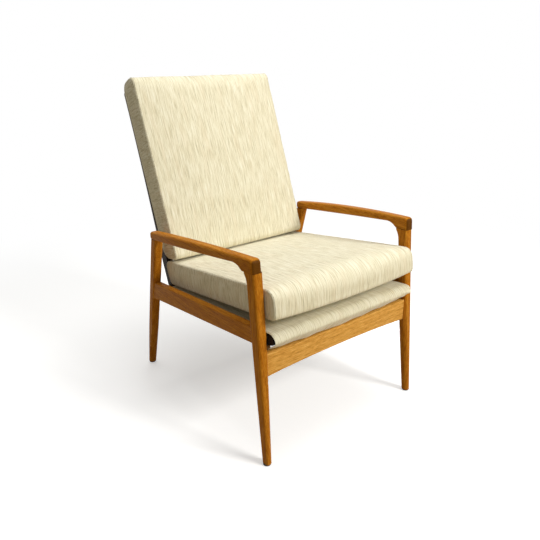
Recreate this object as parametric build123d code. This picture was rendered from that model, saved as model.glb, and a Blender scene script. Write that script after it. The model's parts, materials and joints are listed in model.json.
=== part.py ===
from build123d import *
import os
from math import cos, radians, sin, tan

os.makedirs("parts", exist_ok=True)

# A wooden easy chair with bowed arms and two loose cushions. The cushions lie on a seat and back frame
# that reclines as one, on two shouldered bolts in the side rails. Millimetres; X to the right, Y to the
# rear, Z up. While it is built, Y is 0 at the front feet. The finished chair is moved so that its
# origin is the middle of its base.

# Width and length of the seat cushion's seams: the frame is laid out round them
seat_width = 529.0
seat_length = 566.0

# Stance of the legs: how far their centre lines stand out from the seat cushion and behind its length
front_foot_out = 23.5
front_top_out = 16.0
rear_foot_out = 31.5
rear_top_out = 33.5
rear_foot_behind = 121.0
rear_top_before = 16.5
front_joint_z = 545.0
front_top_y = 53.5

# Sections of the legs
foot_diameter = 24.5
foot_square = 26.0
leg_top_width = 30.0
rear_leg_top_width = 29.0
front_leg_mid_depth = 32.0
front_leg_top_depth = 37.0
rear_leg_mid_depth = 33.0
rear_leg_top_depth = 36.0
leg_edge_radius = 8.0
turned_growth_share = 0.024
glide_height = 4.0
glide_radius = 11.0
glide_edge = 1.0
glide_pin_radius = 1.6
glide_pin_length = 14.0

# Arms
underside_rise = 18.5
underside_fall_share = 0.118
nose_height = 37.0
arm_mid_thickness = 27.0
arm_rear_thickness = 24.0
arm_nose_width = 30.0
arm_mid_width = 32.0
arm_rear_width = 30.0
arm_mid_out = 32.0
arm_rear_out = 34.0
arm_rear_overhang = 4.0
knee_radius = 50.0
nose_radius = 12.0
arm_tail_radius = 13.0
arm_top_edge_radius = 8.0
arm_under_edge_radius = 7.0

# Side rails, measured where they meet the legs' centre lines
side_rail_thickness = 22.0
side_rail_front_top_z = 402.0
side_rail_front_depth = 48.0
side_rail_rear_top_z = 348.0
side_rail_rear_depth = 58.0
rail_edge_radius = 3.0

# Front rail and rear stretcher
front_rail_thickness = 22.0
front_rail_front_y = 21.0
front_rail_top_z = 325.0
front_rail_dip = 5.0
front_rail_depth = 70.0
front_rail_arch = 10.0
stretcher_height = 26.0
stretcher_depth = 20.0
stretcher_radius = 7.0
stretcher_z = 298.0
stretcher_setback = 4.0

# Dowels
dowel_radius = 5.0
dowel_length = 48.0
arm_dowel_length = 40.0
small_dowel_radius = 3.5
small_dowel_length = 36.0
dowel_gap = 0.05
dowel_end_room = 1.0
rail_dowel_shares = [0.3, 0.7]
bar_dowel_shares = [0.28, 0.72]
arm_dowel_share = 0.32

# Deck: the plane on which the seat cushion lies, falling to the rear
deck_front_y = 30.0
deck_front_z = 380.0
deck_fall = 5.3
cloth_thickness = 1.8
strap_thickness = 2.5
strap_width = 48.0
strap_slot_depth = 14.0
clip_wall = 1.0
fit_gap = 0.1

# Inner seat frame
inner_rail_set_in = 2.5
inner_rail_thickness = 22.0
inner_rail_depth = 36.0
inner_rail_first = 30.0
inner_rail_before = 18.0
tail_round_share = 0.48
nose_round_share = 0.95
nose_low_share = 0.8
front_tube_radius = 8.0
front_tube_wall = 1.5
front_tube_back = 14.0
front_tube_drop = 17.5
front_nose_radius = 13.0
front_tube_inset = 2.5
tube_plug_length = 14.0
rear_bar_before = 74.0
rear_bar_width = 26.0
rear_bar_depth = 24.0
seat_strap_first = 46.0
seat_strap_end_gap = 30.0
seat_strap_count = 5
deck_side_margin = 1.0
deck_end_gap = 1.5
sleeve_top_reach = 24.0
sleeve_front_reach = 35.0
sleeve_front_drop = 21.0
sleeve_hem_drop = 47.0
sleeve_top_radius = 22.0
sleeve_front_radius = 9.0
hem_wave = 3.0

# Tilt pivots
pivot_before = 144.0
pivot_drop = 20.0
pin_radius = 4.0
pin_running_gap = 0.05
pin_hold = 14.0
bush_wall = 2.5
head_radius = 9.0
head_height = 3.5
washer_radius = 24.0
washer_thickness = 2.4
spacer_radius = 9.0
spotface_depth = 1.2
insert_radius = 6.5
insert_length = 15.0
side_play = 0.3

# Stops under the front of the seat frame
stop_block_length = 32.0
stop_pad_thickness = 6.0
stop_pad_start = 31.0
stop_pad_length = 13.0
stop_pad_edge = 1.0
stop_gap = 0.3
stop_block_drop_share = 0.72

# Seat cushion: its bottom seams lie in a plane that falls to the rear
seat_pitch = 8.65
seat_front_y = -6.0
seat_front_z = 425.3
seat_rear_lean = 16.6
seat_boxing = 78.0
seat_crown = 12.5
seat_bulge = 4.0
seat_front_sag = 18.0
seat_belly_start = 150.0
seat_belly_blend = 30.0
seat_front_top_radius = 24.0
seat_front_low_radius = 13.0
seat_rear_radius = 18.0
cushion_end_radius = 5.0
least_bow = 0.5

# Back cushion: its front seams stand on this line, leaning from the vertical
back_lean = 20.65
back_set_in = 64.55
back_foot_rise = 10.12
back_length = 581.0
back_narrower = 5.0
back_boxing = 87.0
back_crown = 12.0
back_top_crown = 4.0
back_bottom_crown = 5.0
back_foot_drop = 1.4
back_front_radius = 17.0
back_low_rear_radius = 38.0
back_top_radius = 18.0
cushion_gap = 0.4

# Back frame
upright_low_depth = 34.0
upright_mid_depth = 19.0
upright_top_depth = 15.0
upright_mid_height = 262.0
upright_top = 562.0
upright_top_radius = 6.0
tongue_thickness = 10.0
tongue_reach = 34.0
back_bar_height = 44.0
back_bar_thickness = 14.0
back_top_bar = 508.0
back_low_bar = 10.0
back_strap_first = 92.0
back_strap_pitch = 97.0
back_strap_count = 5
back_strap_slot_depth = 9.0
screw_radius = 2.0
screw_head_radius = 4.0
screw_length = 26.0
screw_shares = [(0.35, 0.3), (0.6, 0.7)]

overrun = 20.0
wide = 900.0
pieces = {}

# Places that follow from the seat cushion's width and length

seat_half = seat_width / 2
front_foot_x = seat_half + front_foot_out
front_top_x = seat_half + front_top_out
rear_foot_x = seat_half + rear_foot_out
rear_top_x = seat_half + rear_top_out
arm_mid_x = seat_half + arm_mid_out
arm_rear_x = seat_half + arm_rear_out
foot_spread = seat_length + rear_foot_behind
rear_top_y = seat_length - rear_top_before
inner_rail_outer_x = seat_half - inner_rail_set_in
inner_rail_inner_x = inner_rail_outer_x - inner_rail_thickness
inner_rail_last = seat_length - inner_rail_before
rear_bar_start = seat_length - rear_bar_before
pivot_back = seat_length - pivot_before
seat_strap_pitch = (rear_bar_start - seat_strap_end_gap - seat_strap_first) / (seat_strap_count - 1)
deck_half_width = inner_rail_outer_x - deck_side_margin
front_tube_half = inner_rail_outer_x - front_tube_inset

# Frames of reference: the deck, the seat cushion's bottom seams and the back cushion's front seams

deck_angle = radians(deck_fall)
pitch_angle = radians(seat_pitch)
lean_angle = radians(back_lean)


def leaning_plane(y, z, angle):
    """Frame whose X runs across the chair and whose Z leans back by an angle."""
    return Plane((0, y, z), x_dir=(1, 0, 0), z_dir=(0, sin(angle), cos(angle)))


deck_plane = leaning_plane(deck_front_y, deck_front_z, deck_angle)
seat_plane = leaning_plane(seat_front_y, seat_front_z, pitch_angle)
back_foot = seat_plane.from_local_coords((0, seat_length - back_set_in, seat_boxing + back_foot_rise))
back_plane = leaning_plane(back_foot.Y, back_foot.Z, lean_angle)


def at_height(low, high, top_z, z):
    """Value on a straight line from low at the floor to high at top_z."""
    return low + (high - low) * z / top_z


def front_leg_y(z):
    return at_height(0, front_top_y, front_joint_z, z)


def front_leg_x(z):
    return at_height(front_foot_x, front_top_x, front_joint_z, z)


def underside_z(y):
    """Height of the arm's underside."""
    return front_joint_z + underside_rise - underside_fall_share * (y - front_top_y)


rear_joint_z = underside_z(rear_top_y)


def rear_leg_y(z):
    return at_height(foot_spread, rear_top_y, rear_joint_z, z)


def rear_leg_x(z):
    return at_height(rear_foot_x, rear_top_x, rear_joint_z, z)


def corner(shape, *place):
    """The vertex of a shape nearest to a place."""
    return shape.vertices().sort_by_distance(place)[0]


def largest(shape):
    return max(shape.solids(), key=lambda s: s.volume)


def on_side(points):
    """Side outline points as places on the chair's middle plane."""
    return [Vector(0, y, z) for y, z in points]


def side_blank(outline):
    """Extrude a side outline right through the chair."""
    return extrude(make_face(outline), amount=wide / 2, both=True)


def side_slab(face, x_low, x_high):
    """Extrude a face drawn in a side plane, from one station across the chair to another."""
    return extrude(Plane.YZ.offset(x_low) * face, amount=x_high - x_low)


def rising_edges(solid):
    """Edges that climb, as the long edges of a leg do."""
    return [e for e in solid.edges() if abs((e @ 1 - e @ 0).Z) > overrun]


def rod(centre, axis, radius, length):
    """A round bar, centred on a place."""
    return Plane(origin=centre, z_dir=axis) * Cylinder(radius, length)


def rod_from(start, axis, radius, length):
    """A round bar that begins at a place."""
    return Plane(origin=start, z_dir=axis) * Cylinder(
        radius, length, align=(Align.CENTER, Align.CENTER, Align.MIN))


def both_sides(name, right_piece):
    """Keep a right-hand piece and its mirror image as two nodes."""
    pieces[name + "_right"] = right_piece
    pieces[name + "_left"] = mirror(right_piece, about=Plane.YZ)


def group(name, shapes):
    """Keep several solids as one node."""
    pieces[name] = Compound(children=[s for shape in shapes for s in shape.solids()])


def with_mirror(shapes):
    return shapes + [mirror(shape, about=Plane.YZ) for shape in shapes]


# Side frame: the front leg and the arm share one outline, parted at the joint

foot_z = glide_height
mid_z = front_joint_z / 2
nose_z = front_joint_z + nose_height
nose_top = (front_leg_y(nose_z) - front_leg_top_depth / 2, nose_z)
tail_y = rear_top_y + rear_leg_top_depth / 2 + arm_rear_overhang
arm_mid_y = (nose_top[0] + tail_y) / 2
knee_y = front_top_y + front_leg_top_depth / 2
knee = (knee_y, underside_z(knee_y))


def side_frame_blank():
    foot_front = (front_leg_y(foot_z) - foot_square / 2, foot_z)
    foot_rear = (front_leg_y(foot_z) + foot_square / 2, foot_z)
    tail_low = (tail_y, underside_z(tail_y))
    tail_top = (tail_y, tail_low[1] + arm_rear_thickness)
    mid_half = front_leg_mid_depth / 2
    front = ThreePointArc(*on_side([foot_front, (front_leg_y(mid_z) - mid_half, mid_z), nose_top]))
    arm_mid = (arm_mid_y, underside_z(arm_mid_y) + arm_mid_thickness)
    top = ThreePointArc(*on_side([nose_top, arm_mid, tail_top]))
    tail = Line(*on_side([tail_top, tail_low]))
    under = Line(*on_side([tail_low, knee]))
    rear = ThreePointArc(*on_side([knee, (front_leg_y(mid_z) + mid_half, mid_z), foot_rear]))
    base = Line(*on_side([foot_rear, foot_front]))
    face = make_face(front + top + tail + under + rear + base)
    face = fillet(corner(face, 0, *knee), knee_radius)
    face = fillet(corner(face, 0, *nose_top), nose_radius)
    return extrude(face, amount=wide / 2, both=True)


def arm_edge(half_nose, half_mid, half_tail):
    """One long edge of the arm in plan."""
    return ThreePointArc(
        (front_top_x + half_nose, nose_top[0] - overrun),
        (arm_mid_x + half_mid, arm_mid_y),
        (arm_rear_x + half_tail, tail_y))


def over_middle(edge):
    """Whether an edge runs above the middle of the arm's thickness."""
    middle = edge @ 0.5
    return middle.Z > underside_z(middle.Y) + arm_rear_thickness / 2


def leg_below_joint():
    """Everything of the shared outline that belongs to the front leg."""
    reach = knee_y + knee_radius
    return Pos(0, reach - wide / 2, front_joint_z - wide / 2) * Box(wide, wide, wide)


def rounded_arm(solid):
    """Round the arm's tail in plan, then its long upper and lower edges; each run joins its neighbours."""
    run = tail_y - knee_y
    tail = [e for e in solid.edges() if e.center().Y > tail_y - fit_gap and e.tangent_at(0).Z ** 2 > 1 / 2]
    solid = fillet(tail, arm_tail_radius)
    upper = [e for e in solid.edges() if e.length > run / 2 and over_middle(e)]
    solid = fillet(upper, arm_top_edge_radius)
    lower = [e for e in solid.edges() if e.length > run / 2 and not over_middle(e)]
    return fillet(lower, arm_under_edge_radius)


def arm_right(blank):
    outer = arm_edge(arm_nose_width / 2, arm_mid_width / 2, arm_rear_width / 2)
    inner = arm_edge(-arm_nose_width / 2, -arm_mid_width / 2, -arm_rear_width / 2)
    plan = make_face(outer + inner + Line(outer @ 0, inner @ 0) + Line(outer @ 1, inner @ 1))
    solid = largest((blank & extrude(plan, amount=wide)) - leg_below_joint())
    start = outer % 0
    return rounded_arm(solid), start.X / start.Y


def turned_limit(foot, top):
    """Cone about a leg's axis that makes its lower part round."""
    axis = Vector(*top) - Vector(*foot)
    place = Plane(origin=Vector(*foot) - axis.normalized() * overrun, z_dir=axis)
    length = axis.length + 2 * overrun
    start = foot_diameter / 2 - turned_growth_share * overrun
    cone = Cone(start, start + turned_growth_share * length, length,
                align=(Align.CENTER, Align.CENTER, Align.MIN))
    return place * cone


def leg_front_outline(foot_x, top_x, top_z, top_width, slant):
    """Tapered front view of a leg, extruded to the rear along a slant."""
    half_foot = foot_square / 2
    half_top = top_width / 2
    face = Plane.XZ * make_face(Polyline(
        (foot_x - half_foot, 0), (foot_x + half_foot, 0),
        (top_x + half_top, top_z), (top_x - half_top, top_z), close=True))
    return extrude(face, amount=wide, dir=(slant, 1, 0), both=True)


def front_leg_right(blank, slant):
    outline = leg_front_outline(front_foot_x, front_top_x, front_joint_z, leg_top_width, slant)
    outline = Pos(-slant * front_top_y) * outline
    square = largest((blank & leg_below_joint()) & outline)
    rounded = fillet(rising_edges(square), leg_edge_radius)
    return rounded & turned_limit((front_foot_x, 0, 0), (front_top_x, front_top_y, front_joint_z))


def rear_leg_right():
    mid = rear_joint_z / 2
    half = rear_leg_top_depth / 2
    mid_half = rear_leg_mid_depth / 2
    top_front = (rear_top_y - half, underside_z(rear_top_y - half))
    top_rear = (rear_top_y + half, underside_z(rear_top_y + half))
    low_front = (rear_leg_y(foot_z) - foot_square / 2, foot_z)
    low_rear = (rear_leg_y(foot_z) + foot_square / 2, foot_z)
    front = ThreePointArc(*on_side([low_front, (rear_leg_y(mid) - mid_half, mid), top_front]))
    rear = ThreePointArc(*on_side([top_rear, (rear_leg_y(mid) + mid_half, mid), low_rear]))
    ends = Line(*on_side([top_front, top_rear])) + Line(*on_side([low_rear, low_front]))
    top_z = rear_joint_z + overrun
    outline = leg_front_outline(rear_foot_x, rear_leg_x(top_z), top_z, rear_leg_top_width, 0)
    square = side_blank(front + rear + ends) & outline
    rounded = fillet(rising_edges(square), leg_edge_radius)
    return rounded & turned_limit((rear_foot_x, foot_spread, 0), (rear_top_x, rear_top_y, rear_joint_z))


# Outer frame, right-hand side, before its joints are bored

blank = side_frame_blank()
arm, arm_slant = arm_right(blank)
front_leg = front_leg_right(blank, arm_slant)
rear_leg = rear_leg_right()
front_rail_z = front_rail_top_z - front_rail_depth / 2
side_front_y = front_leg_y(side_rail_front_top_z)
side_rear_y = rear_leg_y(side_rail_rear_top_z)
side_front_x = front_leg_x(side_rail_front_top_z)
side_rear_x = rear_leg_x(side_rail_rear_top_z)


def side_rail_right():
    """Side rail, coped to the round faces of both legs."""
    side = make_face(Polyline(*on_side([
        (side_front_y, side_rail_front_top_z), (side_rear_y, side_rail_rear_top_z),
        (side_rear_y, side_rail_rear_top_z - side_rail_rear_depth),
        (side_front_y, side_rail_front_top_z - side_rail_front_depth)]), close=True))
    half = side_rail_thickness / 2
    plan = make_face(Polyline(
        (side_front_x - half, side_front_y), (side_rear_x - half, side_rear_y),
        (side_rear_x + half, side_rear_y), (side_front_x + half, side_front_y), close=True))
    bar = extrude(side, amount=wide / 2, both=True) & extrude(plan, amount=wide)
    long_edges = [e for e in bar.edges() if e.length > wide / 2]
    return largest(fillet(long_edges, rail_edge_radius) - front_leg - rear_leg)


def front_rail_whole():
    """Front rail, dipped above and arched below, coped to both legs."""
    end = front_leg_x(front_rail_z)
    low = front_rail_top_z - front_rail_depth
    dip = front_rail_top_z - front_rail_dip
    top = ThreePointArc((-end, front_rail_top_z), (0, dip), (end, front_rail_top_z))
    arch = ThreePointArc((-end, low), (0, low + front_rail_arch), (end, low))
    face = make_face(top + arch + Line(top @ 0, arch @ 0) + Line(top @ 1, arch @ 1))
    bar = extrude(Plane.XZ.offset(-front_rail_front_y) * face, amount=-front_rail_thickness)
    long_edges = [e for e in bar.edges() if e.length > wide / 2]
    return largest(fillet(long_edges, rail_edge_radius) - front_leg - mirror(front_leg, about=Plane.YZ))


def stretcher_whole():
    end = rear_leg_x(stretcher_z)
    section = Plane.YZ.offset(-end) * RectangleRounded(stretcher_depth, stretcher_height, stretcher_radius)
    bar = Pos(0, rear_leg_y(stretcher_z) + stretcher_setback, stretcher_z) * extrude(section, amount=2 * end)
    return largest(bar - rear_leg - mirror(rear_leg, about=Plane.YZ))


side_rail = side_rail_right()
front_rail = front_rail_whole()
stretcher = stretcher_whole()

# Dowels of the outer frame: each is listed with the place of its middle and its direction

side_run = Vector(side_rear_x - side_front_x, side_rear_y - side_front_y,
                  side_rail_rear_top_z - side_rail_front_top_z).normalized()
side_tops = Vector(side_front_x, side_front_y, side_rail_front_top_z)
front_cope = front_leg_top_depth / 2
rear_cope = rear_leg_top_depth / 2
side_length = Vector(side_rear_x - side_front_x, side_rear_y - side_front_y,
                     side_rail_rear_top_z - side_rail_front_top_z).length
front_axis = Vector(front_top_x - front_foot_x, front_top_y, front_joint_z)
rear_axis = Vector(rear_top_x - rear_foot_x, rear_top_y - foot_spread, rear_joint_z)
down = Vector(0, 0, -1)
across = Vector(1, 0, 0)
front_rail_y = front_rail_front_y + front_rail_thickness / 2
rail_cope_x = front_leg_x(front_rail_z) - leg_top_width / 2
stretcher_cope_x = rear_leg_x(stretcher_z) - rear_leg_top_width / 2


def dowel_middles():
    """Places and directions of the right-hand dowels, by the length that each has."""
    long_ones = []
    for share in rail_dowel_shares:
        long_ones.append((side_tops + side_run * front_cope + down * side_rail_front_depth * share, side_run))
        long_ones.append((side_tops + side_run * (side_length - rear_cope)
                          + down * side_rail_rear_depth * share, side_run))
        rail_z = front_rail_top_z - front_rail_depth * share
        long_ones.append((Vector(rail_cope_x - dowel_radius, front_rail_y, rail_z), across))
    stretcher_y = rear_leg_y(stretcher_z) + stretcher_setback
    long_ones.append((Vector(stretcher_cope_x - dowel_radius, stretcher_y, stretcher_z), across))
    short_ones = [(Vector(front_top_x, front_top_y, front_joint_z), front_axis)]
    low = rear_axis.normalized() * (arm_dowel_length * (0.5 - arm_dowel_share))
    short_ones.append((Vector(rear_top_x, rear_top_y, rear_joint_z) - low, rear_axis))
    return [(p, a, dowel_length) for p, a in long_ones] + [(p, a, arm_dowel_length) for p, a in short_ones]


frame_dowels = []
dowel_bores = []
for middle, axis, length in dowel_middles():
    frame_dowels.append(rod(middle, axis, dowel_radius, length))
    dowel_bores.append(rod(middle, axis, dowel_radius + dowel_gap, length + 2 * dowel_end_room))

# Foot glides: a disc with a pin, under each leg


def glide(x, y, pin_axis):
    disc = Pos(x, y, glide_height / 2) * Cylinder(glide_radius, glide_height)
    disc = fillet(disc.edges().group_by(Axis.Z)[0], glide_edge)
    return disc + rod_from(Vector(x, y, glide_height / 2), pin_axis, glide_pin_radius,
                           glide_pin_length + glide_height / 2)


feet = [(front_leg_x(foot_z), front_leg_y(foot_z)), (rear_leg_x(foot_z), rear_leg_y(foot_z))]
glides = [glide(*feet[0], front_axis), glide(*feet[1], rear_axis)]
glide_bores = []
for (x, y), axis in zip(feet, (front_axis, rear_axis)):
    glide_bores.append(rod_from(Vector(x, y, foot_z / 2), axis, glide_pin_radius + dowel_gap,
                                glide_pin_length + foot_z / 2 + dowel_end_room))

# Pivots: worked out in the deck's frame, on the axis where the seat frame turns

pivot = deck_plane.from_local_coords((0, pivot_back, -pivot_drop))
washer_x = inner_rail_outer_x + fit_gap
spacer_x = washer_x + washer_thickness + side_play
rail_x_share = (pivot.Y - side_front_y) / (side_rear_y - side_front_y)
side_rail_x = side_front_x + (side_rear_x - side_front_x) * rail_x_share
rail_face_x = side_rail_x - side_rail_thickness / 2 + spotface_depth


def on_pivot(x):
    return Vector(x, pivot.Y, pivot.Z)


def tube(x_low, x_high, outer, inner):
    ring = rod_from(on_pivot(x_low), across, outer, x_high - x_low)
    return ring - rod_from(on_pivot(x_low - overrun), across, inner, x_high - x_low + 2 * overrun)


running = pin_radius + pin_running_gap
bush_radius = running + bush_wall
pivot_spacer = tube(spacer_x, rail_face_x, spacer_radius, running)
pivot_washer = tube(washer_x, washer_x + washer_thickness, washer_radius, running)
pivot_bush = tube(inner_rail_inner_x, inner_rail_outer_x, bush_radius, running)
pivot_insert = tube(rail_face_x, rail_face_x + insert_length, insert_radius, pin_radius + dowel_gap)
head_x = inner_rail_inner_x - side_play - head_height
pivot_bolt = rod_from(on_pivot(head_x), across, head_radius, head_height)
pivot_bolt = fillet(pivot_bolt.edges().group_by(Axis.X)[0], glide_edge)
pivot_bolt += rod_from(on_pivot(head_x), across, pin_radius, rail_face_x + pin_hold - head_x)
pivot_bolt -= rod_from(on_pivot(head_x - overrun), across, pin_radius / 2, overrun + head_height / 2)
side_rail -= rod_from(on_pivot(rail_face_x - overrun), across, spacer_radius + dowel_gap, overrun)
side_rail -= rod_from(on_pivot(rail_face_x - overrun), across, insert_radius + dowel_gap,
                      overrun + insert_length + dowel_end_room)

# Stops: blocks glued behind the front rail, each with a rubber pad under an inner rail

inner_rail_top = -cloth_thickness - strap_thickness
inner_rail_bottom = inner_rail_top - inner_rail_depth
inner_rail_x = inner_rail_inner_x + inner_rail_thickness / 2
front_rail_rear_y = front_rail_front_y + front_rail_thickness


def stop_block_right():
    """Block on the rear face of the front rail, its top cut parallel to the deck."""
    low = front_rail_top_z - front_rail_depth * stop_block_drop_share
    high = deck_front_z
    block = Pos(inner_rail_x, front_rail_rear_y, low) * Box(
        inner_rail_thickness, stop_block_length, high - low,
        align=(Align.CENTER, Align.MIN, Align.MIN))
    upper = deck_plane * Pos(0, 0, inner_rail_bottom - stop_gap - stop_pad_thickness) * Box(
        wide, wide, wide, align=(Align.CENTER, Align.CENTER, Align.MIN))
    block -= upper
    return fillet(block.edges().filter_by(Axis.X).group_by(Axis.Z)[0], rail_edge_radius)


def stop_pad_right():
    pad = Pos(inner_rail_x, stop_pad_start, inner_rail_bottom - stop_gap) * Box(
        inner_rail_thickness - 2 * stop_pad_edge, stop_pad_length, stop_pad_thickness,
        align=(Align.CENTER, Align.MIN, Align.MAX))
    pad = fillet(pad.edges().group_by(Axis.Z)[-1], stop_pad_edge)
    return deck_plane * pad


# Inner seat frame, in the deck's own frame: X across, Y to the rear, Z up from the deck


def rail_outline():
    """Side view of an inner rail: full depth with a round rear end, drawn in to a round nose."""
    nose = -front_tube_back - front_nose_radius
    nose_low = -front_tube_drop - front_nose_radius * nose_low_share
    tail = inner_rail_last + inner_rail_depth / 2
    points = [(nose, inner_rail_top), (tail, inner_rail_top), (tail, inner_rail_bottom),
              (inner_rail_first, inner_rail_bottom), (nose, nose_low)]
    radii = [front_nose_radius, inner_rail_depth * tail_round_share, inner_rail_depth * tail_round_share,
             inner_rail_depth, front_nose_radius * nose_round_share]
    face = make_face(Polyline(*points, close=True))
    for point, radius in zip(points, radii):
        face = fillet(corner(face, *point, 0), radius)
    return face


def strap_runs(first, pitch, count):
    return [first + pitch * i for i in range(count)]


def bent_strap(reach, depth):
    """Half section of a strap in the cross plane: flat above, turned down into its slot."""
    outer = Polyline((0, 0), (reach + strap_thickness / 2, 0), (reach + strap_thickness / 2, -depth),
                     (reach - strap_thickness / 2, -depth), (reach - strap_thickness / 2, -strap_thickness),
                     (0, -strap_thickness), close=True)
    return make_face(outer)


def strap_set(reach, top, depth, runs):
    """Straps, clips and slots at each run, with the strap's outer face at this height."""
    straps = []
    clips = []
    slots = []
    half = bent_strap(reach, depth)
    section = Plane.XZ * (half + mirror(half, about=Plane.YZ))
    clip_depth = depth - 2 * strap_thickness
    clip = Box(strap_thickness + 2 * clip_wall, strap_width, clip_depth + clip_wall,
               align=(Align.CENTER, Align.CENTER, Align.MAX))
    clip -= Box(strap_thickness, strap_width + overrun, clip_depth,
                align=(Align.CENTER, Align.CENTER, Align.MAX))
    slot = Box(strap_thickness + 2 * (clip_wall + fit_gap), strap_width + 2 * fit_gap, depth + 2 * clip_wall,
               align=(Align.CENTER, Align.CENTER, Align.MAX))
    for run in runs:
        straps.append(Pos(0, run + strap_width / 2, top) * extrude(section, amount=strap_width))
        for side in (-reach, reach):
            clips.append(Pos(side, run, top - 2 * strap_thickness) * clip)
            slots.append(Pos(side, run, top - strap_thickness) * slot)
    return straps, clips, slots


seat_runs = strap_runs(seat_strap_first, seat_strap_pitch, seat_strap_count)
strap_x = inner_rail_x
seat_straps, seat_clips, seat_slots = strap_set(strap_x, -cloth_thickness, strap_slot_depth, seat_runs)

tube_place = (-front_tube_back, -front_tube_drop)
tube_centre = Vector(-front_tube_half, *tube_place)
front_tube = rod_from(tube_centre, across, front_tube_radius, 2 * front_tube_half)
front_tube -= rod_from(tube_centre, across, front_tube_radius - front_tube_wall, 2 * front_tube_half)
plug_radius = front_tube_radius - front_tube_wall - dowel_gap
tube_plug = rod_from(Vector(front_tube_half - tube_plug_length, *tube_place), across,
                     plug_radius, tube_plug_length)
tube_bore = rod_from(tube_centre, across, front_tube_radius + dowel_gap, 2 * front_tube_half)

rear_bar = Pos(0, rear_bar_start, inner_rail_top) * Box(
    2 * inner_rail_inner_x, rear_bar_width, rear_bar_depth, align=(Align.CENTER, Align.MIN, Align.MAX))
rear_bar = fillet(rear_bar.edges().filter_by(Axis.X).group_by(Axis.Z)[0], rail_edge_radius)
seat_dowel_places = []
for share in bar_dowel_shares:
    seat_dowel_places.append(Vector(inner_rail_inner_x, rear_bar_start + rear_bar_width * share,
                                    inner_rail_top - rear_bar_depth / 2))
seat_dowels = with_mirror([rod(p, across, small_dowel_radius, small_dowel_length) for p in seat_dowel_places])
seat_dowel_bores = with_mirror([
    rod(p, across, small_dowel_radius + dowel_gap, small_dowel_length + 2 * dowel_end_room)
    for p in seat_dowel_places])

upright_inner_x = inner_rail_inner_x - tongue_thickness
strap_front = back_boxing + side_play
upright_front = strap_front + strap_thickness

# Deck cloth: lies on the straps, wraps the front tube as a loose sleeve and ends in a wavy hem

hem_shares = [0.2, -0.6, 0.1, -0.8, 0.3, -0.2, -1.0, 0.0, -0.5, 0.4, -0.7, -0.1, 0.3]


def back_in_deck(depth, height):
    """How far back, in the deck's frame, a line parallel to the back's seams lies at this height."""
    lean = lean_angle - deck_angle
    origin = deck_plane.to_local_coords(back_foot)
    along = (height - origin.Z + depth * sin(lean)) / cos(lean)
    return origin.Y + depth * cos(lean) + along * sin(lean)


def deck_cloth():
    end = back_in_deck(upright_front, 0) - deck_end_gap
    hem = sleeve_hem_drop + hem_wave
    points = [(end, 0), (-sleeve_top_reach, 0), (-sleeve_front_reach, -sleeve_front_drop), (hem_wave, -hem)]
    outer = FilletPolyline(*[Vector(0, y, z) for y, z in points],
                           radius=[sleeve_top_radius, sleeve_front_radius])
    inner = outer.offset_2d(cloth_thickness, side=Side.RIGHT, closed=False)
    ends = [Line(outer @ 0, inner @ 1), Line(outer @ 1, inner @ 0)]
    face = make_face(outer.edges() + inner.edges() + [e.edge() for e in ends])
    cloth = extrude(Pos(-deck_half_width) * face, amount=2 * deck_half_width, dir=(1, 0, 0))
    step = 2 * deck_half_width / (len(hem_shares) - 1)
    wave = Spline([(-deck_half_width + step * i, -sleeve_hem_drop + hem_wave * share)
                   for i, share in enumerate(hem_shares)])
    low = -sleeve_hem_drop - overrun
    below = make_face(wave + Polyline(wave @ 0, (-deck_half_width, low), (deck_half_width, low), wave @ 1))
    return cloth - extrude(Plane.XZ * below, amount=overrun, both=True)


# Back frame, in the back's own frame: X across, Y to the rear of the front seams, Z up along them



def upright_right():
    """Back upright: tapered upwards, its lower end a tongue inside the inner rail."""
    foot = -back_length / 4
    low = upright_front + upright_low_depth
    rear = ThreePointArc(*on_side([
        (upright_front + upright_top_depth, upright_top),
        (upright_front + upright_mid_depth, upright_mid_height), (low, 0)]))
    lines = Polyline(*on_side([(low, 0), (low, foot), (upright_front, foot), (upright_front, upright_top),
                               (upright_front + upright_top_depth, upright_top)]))
    face = make_face(rear + lines)
    face = fillet(corner(face, 0, upright_front + upright_top_depth, upright_top), upright_top_radius)
    post = Pos(upright_inner_x) * extrude(face, amount=inner_rail_thickness, dir=(1, 0, 0))
    post = back_plane * post
    below = Box(wide, wide, wide, align=(Align.CENTER, Align.CENTER, Align.MAX))
    beside = Box(wide, wide, wide, align=(Align.MIN, Align.CENTER, Align.MAX))
    post -= deck_plane * Pos(0, inner_rail_last, inner_rail_top - tongue_reach) * below
    return post - deck_plane * Pos(inner_rail_inner_x, inner_rail_last, inner_rail_top) * beside


back_runs = strap_runs(back_strap_first, back_strap_pitch, back_strap_count)
back_straps, back_clips, back_slots = strap_set(
    upright_inner_x + inner_rail_thickness / 2, 0, back_strap_slot_depth, back_runs)


def stood_up(shapes):
    """Turn straps from lying on a deck to standing on the front of the uprights."""
    stand = Pos(0, strap_front, 0) * Rot(90, 0, 0)
    return [back_plane * stand * shape for shape in shapes]


def back_bar(low):
    bar = Pos(0, upright_front + fit_gap, low) * Box(
        2 * upright_inner_x, back_bar_thickness, back_bar_height, align=(Align.CENTER, Align.MIN, Align.MIN))
    return fillet(bar.edges().filter_by(Axis.X), rail_edge_radius)


back_dowel_places = []
for low in (back_top_bar, back_low_bar):
    for share in bar_dowel_shares:
        back_dowel_places.append(Vector(upright_inner_x - small_dowel_radius,
                                        upright_front + fit_gap + back_bar_thickness / 2,
                                        low + back_bar_height * share))
back_dowels = with_mirror([rod(p, across, small_dowel_radius, small_dowel_length) for p in back_dowel_places])
back_dowel_bores = with_mirror([
    rod(p, across, small_dowel_radius + dowel_gap, small_dowel_length + 2 * dowel_end_room)
    for p in back_dowel_places])

# Cushions: ruled lofts through side sections, crowned towards the middle and rounded to their ends

crown_shares = [0.95, 0.85, 0.7, 0.5, 0.25, 0]
end_angles = [75, 50, 25]


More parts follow.
